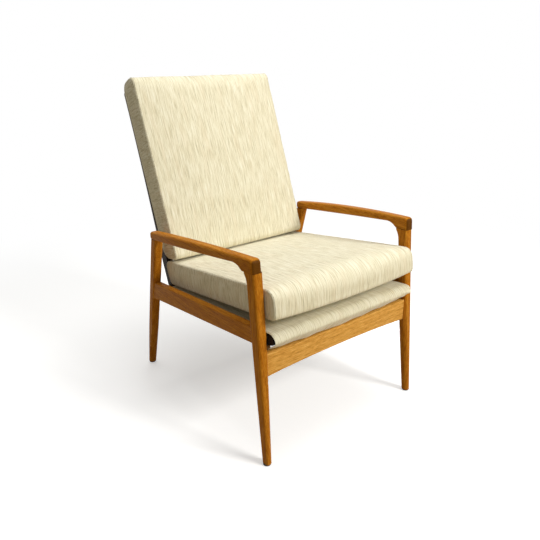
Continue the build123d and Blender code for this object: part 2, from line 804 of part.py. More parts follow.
def cushion_stations(half):
    """Stations across a cushion, each with its inset at the rounded ends and its crown share."""
    core = half - cushion_end_radius
    stations = []
    for angle in end_angles:
        turned = radians(angle)
        inset = cushion_end_radius * (1 - cos(turned))
        stations.append((core + cushion_end_radius * sin(turned), inset, 0))
    for share in crown_shares:
        stations.append((core * share, 0, 1 - share ** 2))
    mirrored = [(-x, inset, crown) for x, inset, crown in stations if x > 0]
    return mirrored + stations[::-1]


def bowed(start, end, bow):
    """A side of a section, bowed outwards at its middle; the section runs clockwise seen from +X."""
    first = Vector(0, *start)
    last = Vector(0, *end)
    if abs(bow) < fit_gap / 2:
        return Line(first, last)
    along = (last - first).normalized()
    out = Vector(0, -along.Z, along.Y)
    return ThreePointArc(first, (first + last) / 2 + out * bow, last)


def deck_in_seat(u, gap):
    """Height above the bottom seams at which something lies this gap above the deck."""
    tilt = pitch_angle - deck_angle
    origin = seat_plane.to_local_coords(Vector(0, deck_front_y, deck_front_z))
    return origin.Z + (u - origin.Y) * sin(tilt) / cos(tilt) + gap / cos(tilt)


def seat_section(x, inset, crown):
    belly = deck_in_seat(seat_belly_start, cushion_gap)
    rear_low = deck_in_seat(seat_length, cushion_gap)
    spread = 1 - (1 - crown) ** 2
    points = [
        (inset, inset - seat_front_sag * crown),
        (inset, seat_boxing - inset),
        (seat_length + seat_rear_lean - inset, seat_boxing - inset),
        (seat_length - inset, inset + (rear_low - inset) * spread),
        (seat_belly_start, inset + (belly - inset) * spread - fit_gap)]
    low_front, low_rear, low = [Vector(0, *points[i]) for i in (0, 3, 4)]
    blend_rear = low + (low_rear - low).normalized() * seat_belly_blend
    blend_front = low + (low_front - low).normalized() * seat_belly_blend
    bottom = Line(low_rear, blend_rear) + Bezier(blend_rear, low, blend_front) + Line(blend_front, low_front)
    face = make_face(bowed(points[0], points[1], seat_bulge)
                     + bowed(points[1], points[2], seat_crown * crown + least_bow)
                     + bowed(points[2], points[3], seat_bulge) + bottom)
    radii = [seat_front_low_radius, seat_front_top_radius, seat_rear_radius, seat_rear_radius]
    for point, radius in zip(points, radii):
        face = fillet(corner(face, 0, *point), radius - inset)
    return Pos(x, 0, 0) * face


def back_section(x, inset, crown):
    fall = back_lean - seat_pitch
    rise = back_boxing * sin(radians(fall)) / cos(radians(fall))
    points = [
        (inset, inset - back_foot_drop),
        (inset, back_length - inset),
        (back_boxing - inset, back_length - inset),
        (back_boxing - inset, rise + inset - back_foot_drop)]
    sides = [bowed(points[0], points[1], back_crown * crown + least_bow),
             bowed(points[1], points[2], back_top_crown * crown + least_bow),
             Line(Vector(0, *points[2]), Vector(0, *points[3])),
             bowed(points[3], points[0], back_bottom_crown * crown + least_bow)]
    face = make_face(sides[0] + sides[1] + sides[2] + sides[3])
    radii = [back_front_radius, back_top_radius, back_top_radius, back_low_rear_radius]
    for point, radius in zip(points, radii):
        face = fillet(corner(face, 0, *point), radius - inset)
    return Pos(x, 0, 0) * face


def cushion(section, half):
    return loft([section(*station) for station in cushion_stations(half)], ruled=True)


# Everything bored and gathered

inner_rail = side_slab(rail_outline(), inner_rail_inner_x, inner_rail_outer_x)
inner_rail = fillet([e for e in inner_rail.edges() if abs((e @ 1 - e @ 0).X) < fit_gap], rail_edge_radius)
inner_rail = largest(inner_rail)
for bore in seat_slots + seat_dowel_bores + [tube_bore]:
    inner_rail -= bore
inner_rail = deck_plane * inner_rail
inner_rail -= rod_from(on_pivot(inner_rail_inner_x - overrun), across, bush_radius + dowel_gap,
                       inner_rail_thickness + 2 * overrun)

screw_places = []
for depth_share, reach_share in screw_shares:
    screw_height = inner_rail_top - tongue_reach * reach_share
    screw_run = back_in_deck(upright_front + upright_low_depth * depth_share, screw_height)
    screw_places.append(deck_plane.from_local_coords(Vector(upright_inner_x, screw_run, screw_height)))
back_screws = []
upright = upright_right()
for place in screw_places:
    screw = rod_from(place, across, screw_radius, screw_length)
    head = Plane(origin=place, z_dir=across) * Cone(
        screw_head_radius, screw_radius, screw_head_radius - screw_radius,
        align=(Align.CENTER, Align.CENTER, Align.MIN))
    slot = Plane(origin=place, z_dir=across) * Box(
        2 * screw_head_radius, screw_radius / 2, screw_radius / 2)
    back_screws.append(screw + head - slot)
    bore = rod_from(place - across * overrun, across, screw_radius + dowel_gap,
                    overrun + screw_length + dowel_end_room)
    sink = Plane(origin=place - across * dowel_gap, z_dir=across) * Cone(
        screw_head_radius + dowel_gap, screw_radius + dowel_gap, screw_head_radius - screw_radius,
        align=(Align.CENTER, Align.CENTER, Align.MIN))
    upright = upright - bore - sink
    inner_rail -= bore
for bore in stood_up(back_slots) + [back_plane * b for b in back_dowel_bores]:
    upright -= bore

for bore in dowel_bores + glide_bores:
    front_leg -= bore
    rear_leg -= bore
    arm -= bore
    side_rail -= bore
for bore in with_mirror(dowel_bores):
    front_rail -= bore
    stretcher -= bore
for bore in seat_dowel_bores:
    rear_bar -= bore
back_bars = []
for low in (back_top_bar, back_low_bar):
    bar = back_bar(low)
    for bore in back_dowel_bores:
        bar -= bore
    back_bars.append(back_plane * bar)

seat_cushion = seat_plane * cushion(seat_section, seat_half)
back_cushion = back_plane * cushion(back_section, seat_half - back_narrower / 2)
drop = back_cushion.distance_to(seat_cushion) - cushion_gap
back_cushion = Pos(*(back_plane.z_dir * -drop)) * back_cushion

both_sides("front_leg", front_leg)
both_sides("rear_leg", rear_leg)
both_sides("armrest", arm)
both_sides("side_rail", side_rail)
pieces["front_rail"] = front_rail
pieces["rear_stretcher"] = stretcher
group("frame_dowels", with_mirror(frame_dowels))
group("foot_glides", with_mirror(glides))
group("stop_blocks", with_mirror([stop_block_right()]))
group("stop_pads", with_mirror([stop_pad_right()]))
group("pivot_inserts", with_mirror([pivot_insert]))
group("pivot_bolts", with_mirror([pivot_bolt]))
group("pivot_spacers", with_mirror([pivot_spacer]))
both_sides("seat_rail", inner_rail)
pieces["seat_front_tube"] = deck_plane * front_tube
group("seat_tube_plugs", with_mirror([deck_plane * tube_plug]))
pieces["seat_rear_bar"] = deck_plane * rear_bar
group("seat_dowels", [deck_plane * d for d in seat_dowels])
group("seat_straps", [deck_plane * strap for strap in seat_straps])
group("seat_strap_clips", [deck_plane * clip for clip in seat_clips])
pieces["seat_deck_cloth"] = deck_plane * deck_cloth()
pieces["seat_cushion"] = seat_cushion
group("pivot_bushes", with_mirror([pivot_bush]))
group("pivot_washers", with_mirror([pivot_washer]))
both_sides("back_upright", upright)
pieces["back_top_bar"] = back_bars[0]
pieces["back_lower_bar"] = back_bars[1]
group("back_dowels", [back_plane * d for d in back_dowels])
group("back_straps", stood_up(back_straps))
group("back_strap_clips", stood_up(back_clips))
group("back_screws", with_mirror(back_screws))
pieces["back_cushion"] = back_cushion

# Move the finished chair so that the origin is the middle of its base, and write it out

whole = Compound(children=[s for piece in pieces.values() for s in piece.solids()])
box = whole.bounding_box()
home = Pos(-(box.min.X + box.max.X) / 2, -(box.min.Y + box.max.Y) / 2, -box.min.Z)
for name, piece in pieces.items():
    export_step(home * piece, f"parts/{name}.step")
pivot_home = pivot + home.position
print(f"size {box.size}, moved by {home.position}")
print(f"pivot at y {pivot_home.Y:.3f}, z {pivot_home.Z:.3f}; back cushion lowered by {drop:.2f}")
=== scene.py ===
import json
from math import copysign, cos, inf, pi, radians, sin, tan

import bmesh
import bpy
from mathutils import Matrix, Vector, noise
from mathutils.bvhtree import BVHTree


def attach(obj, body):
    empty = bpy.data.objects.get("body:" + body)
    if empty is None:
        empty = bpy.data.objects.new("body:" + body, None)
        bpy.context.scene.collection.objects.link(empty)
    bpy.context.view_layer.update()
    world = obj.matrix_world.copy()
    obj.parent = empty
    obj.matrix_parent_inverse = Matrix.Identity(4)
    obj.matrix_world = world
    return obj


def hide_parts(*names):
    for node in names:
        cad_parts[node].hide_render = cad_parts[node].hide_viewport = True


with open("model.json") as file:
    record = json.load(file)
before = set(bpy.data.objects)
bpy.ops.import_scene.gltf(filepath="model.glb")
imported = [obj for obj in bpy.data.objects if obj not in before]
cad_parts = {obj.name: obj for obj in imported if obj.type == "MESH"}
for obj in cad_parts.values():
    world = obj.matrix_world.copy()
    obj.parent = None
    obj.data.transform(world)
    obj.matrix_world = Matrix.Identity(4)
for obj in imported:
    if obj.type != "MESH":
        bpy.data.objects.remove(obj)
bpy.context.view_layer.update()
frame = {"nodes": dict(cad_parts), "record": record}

# Metres, in the CAD's frame. Places below are written in millimetres with Y from the front feet, as in
# the part's source, and shift_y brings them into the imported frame.

nodes = frame["nodes"]
mm = 0.001
pivot = Vector(frame["record"]["behaviour"]["joints"][0]["pos_m"])
pivot_from_feet = 0.448348
shift_y = pivot.y - pivot_from_feet


def leaning(y, z, degrees):
    """Frame that leans back about X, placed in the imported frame; its own lengths are millimetres."""
    a = radians(degrees)
    turn = Matrix(((1, 0, 0, 0), (0, cos(a), sin(a), 0), (0, -sin(a), cos(a), 0), (0, 0, 0, 1)))
    return Matrix.Translation((0, y * mm + shift_y, z * mm)) @ turn @ Matrix.Diagonal((mm, mm, mm, 1))


deck_lean, seat_lean, back_lean = 5.3, 8.65, 20.65
deck_frame = leaning(30, 380, deck_lean)
seat_frame = leaning(-6, 425.3, seat_lean)
back_frame = leaning(503, 437, back_lean)
seat_inverse = seat_frame.inverted()
back_inverse = back_frame.inverted()


# Materials

black, white = (0, 0, 0), (1, 1, 1)


def darker(colour, share):
    return tuple(c * share for c in colour)


class Graph:
    """Builds the nodes of one tree. A socket takes a number, colour, place or another node's output."""

    def __init__(self, tree):
        self.tree = tree

    def put(self, socket, value):
        if isinstance(value, bpy.types.NodeSocket):
            self.tree.links.new(value, socket)
        elif socket.type == "RGBA":
            socket.default_value = (*value, 1)
        else:
            socket.default_value = value

    def add(self, kind, sockets=None, **settings):
        """Add a node. Its sockets are given by name, or by number where names repeat."""
        node = self.tree.nodes.new(kind)
        for key, value in settings.items():
            setattr(node, key, value)
        for key, value in (sockets or {}).items():
            self.put(node.inputs[key], value)
        return node

    def math(self, operation, a, b=0.0, clamp=False):
        return self.add("ShaderNodeMath", {0: a, 1: b}, operation=operation, use_clamp=clamp).outputs[0]

    def weighed(self, *parts):
        """Sum of values times their weights."""
        total = None
        for value, weight in parts:
            part = self.math("MULTIPLY", value, weight)
            total = part if total is None else self.math("ADD", total, part)
        return total

    def mix_shaders(self, share, first, second):
        return self.add("ShaderNodeMixShader", {0: share, 1: first, 2: second}).outputs[0]

    def plain_rays(self):
        """1 for the rays that see white surroundings: camera, glossy and transmission rays."""
        rays = self.add("ShaderNodeLightPath").outputs
        seen = self.math("MAXIMUM", rays["Is Camera Ray"], rays["Is Glossy Ray"])
        return self.math("MAXIMUM", seen, rays["Is Transmission Ray"])


class Material(Graph):
    """A node material with one Principled BSDF, patterned by places in the piece's own frame."""

    def __init__(self, name):
        self.mat = bpy.data.materials.new(name)
        self.mat.use_nodes = True
        super().__init__(self.mat.node_tree)
        self.shader = self.tree.nodes["Principled BSDF"]
        self.place = self.add("ShaderNodeTexCoord").outputs["Object"]

    def mapped(self, scale, turn=(0, 0, 0), source=None):
        """Places that are turned first and scaled after."""
        turned = self.add("ShaderNodeMapping", {"Vector": source or self.place, "Rotation": turn})
        return self.add("ShaderNodeMapping", {"Vector": turned.outputs[0], "Scale": scale}).outputs[0]

    def noise(self, places, scale, detail, rough, distortion=0.0):
        sockets = {"Vector": places, "Scale": scale, "Detail": detail, "Roughness": rough,
                   "Distortion": distortion}
        return self.add("ShaderNodeTexNoise", sockets).outputs["Fac"]

    def bands(self, places, axis, scale, distortion, detail=2.0, detail_scale=1.0):
        """Soft waves that follow one another along an axis."""
        sockets = {"Vector": places, "Scale": scale, "Distortion": distortion, "Detail": detail,
                   "Detail Scale": detail_scale}
        return self.add("ShaderNodeTexWave", sockets, wave_type="BANDS", wave_profile="SIN",
                        bands_direction=axis.upper()).outputs["Fac"]

    def ramp(self, value, stops):
        node = self.add("ShaderNodeValToRGB", {"Fac": value})
        elements = node.color_ramp.elements
        while len(elements) < len(stops):
            elements.new(0.5)
        for element, (at, colour) in zip(elements, stops):
            element.position = at
            element.color = (*colour, 1)
        return node.outputs["Color"]

    def mix(self, share, first, second):
        """Mix of two colours; 6 and 7 are the node's colour sockets, and 2 its colour result."""
        return self.add("ShaderNodeMix", {0: share, 6: first, 7: second}, data_type="RGBA").outputs[2]

    def bump(self, height, distance, strength):
        sockets = {"Height": height, "Distance": distance, "Strength": strength}
        return self.add("ShaderNodeBump", sockets).outputs["Normal"]

    def around(self, middle, pattern, spread):
        """A number that a pattern moves to both sides of its middle."""
        swing = self.math("MULTIPLY", self.math("SUBTRACT", pattern, 0.5), spread)
        return self.math("ADD", middle, swing)

    def finish(self, **values):
        for key, value in values.items():
            self.put(self.shader.inputs[key.replace("_", " ")], value)
        return self.mat


turn_to_z = {"x": (0, -pi / 2, 0), "y": (pi / 2, 0, 0), "z": (0, 0, 0)}
unit = {"x": (1, 0, 0), "y": (0, 1, 0), "z": (0, 0, 1)}


def wood(name, along, dark, mid, light, pore, rough,
         bands_share=0.46, fleck_share=0.36, fleck_scale=250):
    """Oiled wood with its grain along one axis: broad figure, flecks, fibres and short pores, and
    darker, speckled end grain. Each piece gets its own part of the pattern."""
    n = Material(name)
    number = n.add("ShaderNodeObjectInfo").outputs["Random"]
    moved = n.add("ShaderNodeVectorMath", {0: number, 1: (7.3, 5.1, 3.7), 2: n.place},
                  operation="MULTIPLY_ADD").outputs["Vector"]

    def drawn_out(share):
        """Places whose patterns come out 1 / share times as long along the grain."""
        return n.mapped((1, 1, share), turn_to_z[along], moved)

    broad = drawn_out(0.09)
    bands = n.noise(broad, scale=60, detail=5, rough=0.6, distortion=0.8)
    rings = n.add("ShaderNodeTexWave", {"Vector": broad, "Scale": 22, "Distortion": 5.5, "Detail": 3,
                                        "Detail Scale": 1.6},
                  wave_type="RINGS", rings_direction="Z", wave_profile="SAW").outputs["Fac"]
    fleck = n.noise(drawn_out(0.18), fleck_scale, detail=3, rough=0.6)
    fibre = n.noise(drawn_out(0.02), scale=900, detail=2, rough=0.6)
    figure = n.weighed((bands, bands_share), (rings, 0.12), (fleck, fleck_share),
                       (n.math("SUBTRACT", fibre, 0.5), 0.9))
    colour = n.ramp(figure, [(0.18, dark), (0.45, mid), (0.77, light)])
    patch = n.noise(n.place, scale=5.5, detail=2, rough=0.5)
    colour = n.mix(n.math("MULTIPLY", patch, 0.35), colour, mid)
    pores = n.noise(drawn_out(0.05), scale=1500, detail=2, rough=0.7)
    holes = n.ramp(pores, [(0.56, black), (0.70, white)])
    colour = n.mix(n.math("MULTIPLY", holes, 0.55), colour, pore)

    normal = n.add("ShaderNodeNewGeometry").outputs["Normal"]
    facing = n.add("ShaderNodeVectorMath", {0: normal, 1: unit[along]}, operation="DOT_PRODUCT")
    end = n.ramp(n.math("ABSOLUTE", facing.outputs["Value"]), [(0.50, black), (0.78, white)])
    speckle = n.noise(n.place, scale=1400, detail=3, rough=0.7)
    end_colour = n.ramp(speckle, [(0.35, darker(mid, 0.14)), (0.65, darker(mid, 0.36))])
    colour = n.mix(end, colour, end_colour)

    height = n.math("SUBTRACT", n.math("MULTIPLY", fibre, 0.4), holes)
    return n.finish(Base_Color=colour, Roughness=n.around(rough, patch, 0.25), IOR=1.46,
                    Specular_IOR_Level=0.06, Normal=n.bump(height, 0.00012, 0.6))


def slub_cloth(name, across, along, lean=0.0, wrapped=False):
    """Slub weave: long, thin yarn streaks along one axis over a fine plain weave. On a wrapped panel
    the yarn follows the cloth round its edges, by the lengths kept in the mesh."""
    tones = [(0.43, 0.38, 0.24), (0.65, 0.59, 0.40), (0.80, 0.750, 0.56), (0.89, 0.860, 0.71)]
    warm_tint = (0.78, 0.63, 0.42)
    turn = (radians(lean), 0, 0)
    n = Material(name)
    if wrapped:
        n.place = n.add("ShaderNodeAttribute", attribute_name="wrap").outputs["Vector"]

    def drawn_out(share):
        return n.mapped(tuple(share if axis == along else 1 for axis in "xyz"), turn)

    streaks = n.weighed((n.noise(drawn_out(0.028), scale=620, detail=3, rough=0.62), 0.36),
                        (n.noise(drawn_out(0.05), scale=320, detail=3, rough=0.6), 0.48),
                        (n.noise(drawn_out(0.045), scale=1250, detail=2, rough=0.6), 0.16))
    colour = n.ramp(streaks, list(zip((0.35, 0.44, 0.52, 0.60), tones)))
    warm = n.noise(drawn_out(0.12), scale=38, detail=3, rough=0.6)
    colour = n.mix(n.ramp(warm, [(0.50, black), (0.78, darker(white, 0.30))]), colour, warm_tint)

    waves = [n.bands(n.mapped((1, 1, 1), turn), axis, scale=270 if axis == across else 190,
                     distortion=1.2, detail=2, detail_scale=30) for axis in "xyz"]
    weave = n.math("MULTIPLY", n.math("ADD", waves[0], waves[1]), waves[2])
    gaps = n.math("SUBTRACT", 1.0, weave, clamp=True)
    colour = n.mix(n.math("MULTIPLY", gaps, 0.10), colour, darker(tones[1], 0.62))
    height = n.weighed((weave, 0.45), (streaks, 1.5))
    return n.finish(Base_Color=colour, Roughness=0.92, Sheen_Weight=0.22, Sheen_Roughness=0.45,
                    Specular_IOR_Level=0.25, Normal=n.bump(height, 0.0005, 0.7))


def metal(name, colour, rough, spots=0.0):
    """Plain metal, brushed along X, with darker clouds."""
    n = Material(name)
    cloud = n.noise(n.place, scale=60, detail=4, rough=0.6)
    scratch = n.noise(n.mapped((1, 0.06, 0.06)), scale=2600, detail=2, rough=0.6)
    tone = n.mix(n.math("MULTIPLY", cloud, 0.5 + spots), colour, darker(colour, 0.55))
    return n.finish(Base_Color=tone, Metallic=1.0, Roughness=n.around(rough, scratch, 0.25),
                    Normal=n.bump(scratch, 0.00002, 0.4))


def dull(name, colour, rough, grit=900):
    """Moulded plastic, rubber, paint or thread: faint grit and faint cloudy wear."""
    n = Material(name)
    fine = n.noise(n.place, scale=grit, detail=3, rough=0.6)
    cloud = n.noise(n.place, scale=45, detail=3, rough=0.6)
    worn = tuple(min(1, c * 2.2 + 0.01) for c in colour)
    return n.finish(Base_Color=n.mix(n.math("MULTIPLY", cloud, 0.6), colour, worn),
                    Roughness=n.around(rough, cloud, 0.3), Normal=n.bump(fine, 0.00004, 0.5))


def webbing(name):
    """Rubberised woven strap: brown threads along X, ribbed across."""
    n = Material(name)
    ribs = n.bands(n.place, "x", scale=160, distortion=0.6)
    threads = n.noise(n.mapped((0.05, 1, 1)), scale=700, detail=2, rough=0.6)
    tone = n.ramp(threads, [(0.3, (0.10, 0.065, 0.035)), (0.55, (0.20, 0.135, 0.07)),
                            (0.7, (0.30, 0.22, 0.13))])
    tone = n.mix(n.math("MULTIPLY", ribs, 0.5), tone, (0.07, 0.045, 0.025))
    return n.finish(Base_Color=tone, Roughness=0.85,
                    Normal=n.bump(n.math("ADD", ribs, threads), 0.0004, 0.6))


teak = dict(dark=(0.20, 0.053, 0.002), mid=(0.44, 0.152, 0.007), light=(0.70, 0.320, 0.040),
            pore=(0.12, 0.031, 0.002), rough=0.46)
flecked = dict(dark=(0.34, 0.130, 0.014), mid=(0.65, 0.320, 0.060), light=(0.90, 0.550, 0.160),
               pore=(0.22, 0.075, 0.009), rough=0.44, bands_share=0.10, fleck_share=0.72,
               fleck_scale=340)
stain = dict(dark=(0.010, 0.006, 0.004), mid=(0.022, 0.013, 0.008), light=(0.045, 0.026, 0.015),
             pore=(0.006, 0.004, 0.003), rough=0.46)
beech = dict(dark=(0.42, 0.24, 0.11), mid=(0.56, 0.36, 0.18), light=(0.66, 0.46, 0.26),
             pore=(0.36, 0.20, 0.09), rough=0.6)

node_materials = {
    wood("oiled_wood_upright", "z", **teak): [
        "front_leg_left", "front_leg_right", "rear_leg_left", "rear_leg_right"],
    wood("oiled_wood_lengthwise", "y", **teak): [
        "armrest_left", "armrest_right", "side_rail_left", "side_rail_right"],
    wood("oiled_wood_crosswise", "x", **flecked): ["front_rail", "rear_stretcher"],
    wood("dark_wood_lengthwise", "y", **stain): ["seat_rail_left", "seat_rail_right"],
    wood("dark_wood_upright", "z", **stain): ["back_upright_left", "back_upright_right"],
    wood("dark_wood_crosswise", "x", **stain): ["back_top_bar", "back_lower_bar", "seat_rear_bar"],
    wood("plain_wood_crosswise", "x", **beech): ["seat_dowels", "back_dowels", "stop_blocks"],
    wood("plain_wood_upright", "z", **beech): ["frame_dowels"],
    metal("brass_dull", (0.62, 0.43, 0.17), 0.34, spots=0.2): [
        "pivot_bushes", "pivot_washers", "pivot_inserts", "pivot_spacers"],
    metal("steel_zinc", (0.52, 0.52, 0.53), 0.36): [
        "pivot_bolts", "back_screws", "seat_strap_clips", "back_strap_clips"],
    dull("black_enamel", (0.012, 0.012, 0.013), 0.30): ["seat_front_tube"],
    dull("black_plastic_moulded", (0.014, 0.014, 0.014), 0.5): ["foot_glides", "seat_tube_plugs"],
    dull("black_rubber_pad", (0.018, 0.017, 0.016), 0.75): ["stop_pads"],
    webbing("webbing_rubberised"): ["seat_straps", "back_straps"],
}
for material, names in node_materials.items():
    for name in names:
        if nodes[name].material_slots:
            nodes[name].material_slots[0].material = material
        else:
            nodes[name].data.materials.append(material)

cream_main = slub_cloth("cream_slub", "x", "y", wrapped=True)
seat_side = slub_cloth("cream_slub_seat_boxing", "y", "z", seat_lean)
back_side = slub_cloth("cream_slub_back_boxing", "z", "y", back_lean)
thread = dull("cream_thread", (0.62, 0.54, 0.38), 0.8, grit=2200)


# Meshes


def run_share(value, start, end):
    """0 up to start, 1 beyond end, and a straight run between."""
    return min(1.0, max(0.0, (value - start) / (end - start)))


def eased(share):
    """The same share, but leaving 0 and reaching 1 softly."""
    return share * share * (3 - 2 * share)


def link_object(name, data):
    obj = bpy.data.objects.new(name, data)
    bpy.context.scene.collection.objects.link(obj)
    return obj


def smooth_faces(mesh):
    mesh.polygons.foreach_set("use_smooth", [True] * len(mesh.polygons))


def new_object(name, verts, faces, materials, face_slots=None):
    mesh = bpy.data.meshes.new(name)
    mesh.from_pydata([tuple(v) for v in verts], [], faces)
    mesh.update()
    for material in materials:
        mesh.materials.append(material)
    if face_slots:
        mesh.polygons.foreach_set("material_index", face_slots)
    smooth_faces(mesh)
    return link_object(name, mesh)


def keep_wrap(obj, places):
    """Keep each vertex's place on the flat cloth, for the yarn's run."""
    wrap = obj.data.attributes.new("wrap", "FLOAT_VECTOR", "POINT")
    wrap.data.foreach_set("vector", [value * mm for place in places for value in (*place, 0)])


def outward(obj, merge=0.00002, open_sheet=False):
    """Merge what touches and turn the faces outward; on an open sheet the foremost looks forward."""
    bm = bmesh.new()
    bm.from_mesh(obj.data)
    bmesh.ops.remove_doubles(bm, verts=bm.verts, dist=merge)
    bmesh.ops.recalc_face_normals(bm, faces=bm.faces)
    if open_sheet:
        foremost = min(bm.faces, key=lambda face: face.calc_center_median().y)
        if foremost.normal.y > 0:
            bmesh.ops.reverse_faces(bm, faces=bm.faces)
    bm.to_mesh(obj.data)
    bm.free()


def apply_modifiers(obj):
    depsgraph = bpy.context.evaluated_depsgraph_get()
    mesh = bpy.data.meshes.new_from_object(obj.evaluated_get(depsgraph))
    obj.modifiers.clear()
    old = obj.data
    obj.data = mesh
    bpy.data.meshes.remove(old)


def subdivide(obj):
    step = obj.modifiers.new("smooth", "SUBSURF")
    step.levels = 1
    step.render_levels = 1
    apply_modifiers(obj)
    smooth_faces(obj.data)


def surface_of(obj):
    bm = bmesh.new()
    bm.from_mesh(obj.data)
    tree = BVHTree.FromBMesh(bm)
    bm.free()
    return tree


def rounded_corner(corner, before, after, radius):
    """Start, end and centre of the arc that rounds a corner between its two neighbours."""
    a = (before - corner).normalized()
    b = (after - corner).normalized()
    half = a.angle(b) / 2
    reach = radius / tan(half)
    return corner + a * reach, corner + b * reach, corner + (a + b).normalized() * (radius / sin(half))


def arc(start, end, centre, shares):
    """Places on an arc at the given shares of its turn."""
    turn = (start - centre).angle_signed(end - centre)
    spots = []
    for share in shares:
        arm = start - centre
        arm.rotate(Matrix.Rotation(-turn * share, 2))
        spots.append(centre + arm)
    return spots


def ring_of(points, radii, bows, steps, arc_steps=5):
    """Closed section: bowed sides and turned corners, with the same number of places every time."""
    count = len(points)
    corners = [rounded_corner(point, points[i - 1], points[(i + 1) % count], radii[i])
               for i, point in enumerate(points)]

    def bow(spot, i):
        a, b = points[i], points[(i + 1) % count]
        side = b - a
        share = min(1.0, max(0.0, (spot - a).dot(side) / side.length_squared))
        return Vector((-side.y, side.x)).normalized() * bows[i] * (1 - (2 * share - 1) ** 2)

    ring = []
    for i, (start, end, centre) in enumerate(corners):
        for spot in arc(start, end, centre, [(k + 0.5) / arc_steps for k in range(arc_steps)]):
            ring.append(spot + bow(spot, i - 1) + bow(spot, i))
        goal = corners[(i + 1) % count][0]
        for k in range(steps[i] + 1):
            spot = end.lerp(goal, k / steps[i])
            ring.append(spot + bow(spot, i))
    return ring


# Cushions

cushion_half = 264.5   # half the width over both boxings
edge_round = 4.0       # rounding from the panel into a boxing
cushion_pitch = 9.5    # mesh pitch across


def crown_of(share):
    """Share of the crown's full height at a share of the way from the middle to the seam."""
    return 1 - share * share


def boxed_cushion(name, place, section, materials, bulge, axis, low, high, level):
    """Closed cushion: one panel wrapped round its section, and a bulging boxing panel at each side
    that closes on a line. In the section this line runs along axis from low to high, and level is its
    other place. Gives the object, the places of its two seams and their distance from the middle."""
    seam = cushion_half - edge_round - bulge
    across = round(2 * seam / cushion_pitch)
    snap = (high - low) / round((high - low) / (cushion_pitch * 1.6))
    panel = [(-seam + 2 * seam * i / across, 1.0, 0.0) for i in range(across + 1)]
    side = []
    for turned in (30, 60, 90):
        a = radians(turned)
        side.append((seam + edge_round * sin(a), 1.0, edge_round * (1 - cos(a))))
    for share in (0.82, 0.62, 0.42, 0.2, 0.0):
        side.append((seam + edge_round + bulge * (1 - share ** 2), share, edge_round))
    rows = [(-x, share, inset) for x, share, inset in reversed(side)] + panel + side
    verts, faces, slots, seams, flat = [], [], [], [], []
    for x, share, inset in rows:
        ring = section(min(1.0, abs(x) / seam))
        if abs(abs(x) - seam) < 0.01:
            seams.append(range(len(verts), len(verts) + len(ring)))
        run = 0.0
        for k, spot in enumerate(ring):
            run += (spot - ring[k - 1]).length if k else 0.0
            flat.append((x, run))
            along = min(max(spot[axis], low), high)
            along = low + round((along - low) / snap) * snap
            centre = Vector((along, level)) if axis == 0 else Vector((level, along))
            away = spot - centre
            size = away.length
            spot = centre + away * (share * max(0.0, size - inset) / size)
            verts.append(place @ Vector((x, spot.x, spot.y)))
    length = len(ring)
    for r in range(len(rows) - 1):
        boxing = abs(rows[r][0] + rows[r + 1][0]) / 2 > seam
        for k in range(length):
            a, b = r * length + k, r * length + (k + 1) % length
            faces.append((a, b, b + length, a + length))
            slots.append(int(boxing))
    obj = new_object(name, verts, faces, materials, slots)
    seam_places = [[verts[i].copy() for i in row] for row in seams]
    keep_wrap(obj, flat)
    outward(obj)
    return obj, seam_places, seam


def puff(obj, held, frames=20, farthest=0.006):
    """Let the cloth swell under a little pressure, with no place moving beyond farthest. held gives
    how much of a place stays put, from 0 to 1."""
    before = [v.co.copy() for v in obj.data.vertices]
    group = obj.vertex_groups.new(name="held")
    for i, co in enumerate(before):
        group.add([i], held(co), "REPLACE")
    cloth = obj.modifiers.new("cloth", "CLOTH")
    settings = cloth.settings
    settings.quality = 6
    settings.mass = 0.35
    settings.tension_stiffness = 22
    settings.compression_stiffness = 14
    settings.shear_stiffness = 8
    settings.bending_stiffness = 1.2
    settings.use_pressure = True
    settings.uniform_pressure_force = 3.0
    settings.vertex_group_mass = "held"
    settings.effector_weights.gravity = 0
    cloth.point_cache.frame_end = frames
    for number in range(1, frames + 1):
        bpy.context.scene.frame_set(number)
    apply_modifiers(obj)
    bpy.context.scene.frame_set(1)
    for vertex, old in zip(obj.data.vertices, before):
        step = (vertex.co - old) * (1 - held(old))
        if step.length > farthest:
            step *= farthest / step.length
        vertex.co = old + step
    obj.vertex_groups.clear()


def pucker(obj, inverse, seam, shape, widest=inf, rim_width=26):
    """Gather the cloth a little beside its seams and move it softly elsewhere. For a place, shape
    gives how much of this shows, how deep the gathers are and where they are taken from the noise."""
    for vertex in obj.data.vertices:
        spot = inverse @ vertex.co
        show, depth, source = shape(spot)
        if show > 0:
            rim = max(0.0, 1 - abs(seam - abs(spot.x)) / rim_width)
            gather = noise.noise(Vector(source)) * depth * rim
            soft = noise.noise(vertex.co * 9) * (0.24 if rim else 0.96)
            vertex.co += vertex.normal * mm * show * (gather + soft)
        if abs(spot.x) > widest:
            vertex.co.x = copysign(widest, spot.x) * mm


def smooth_loop(path):
    count = len(path)
    for _ in range(2):
        path = [(path[i - 1] + path[i] * 2 + path[(i + 1) % count]) / 4 for i in range(count)]
    return path


def even_loop(path, pitch):
    """The same closed loop with places at an even pitch."""
    spots = []
    carry = 0.0
    for i, a in enumerate(path):
        b = path[(i + 1) % len(path)]
        run = (b - a).length
        while carry < run:
            spots.append(a.lerp(b, carry / run))
            carry += pitch
        carry -= run
    return spots


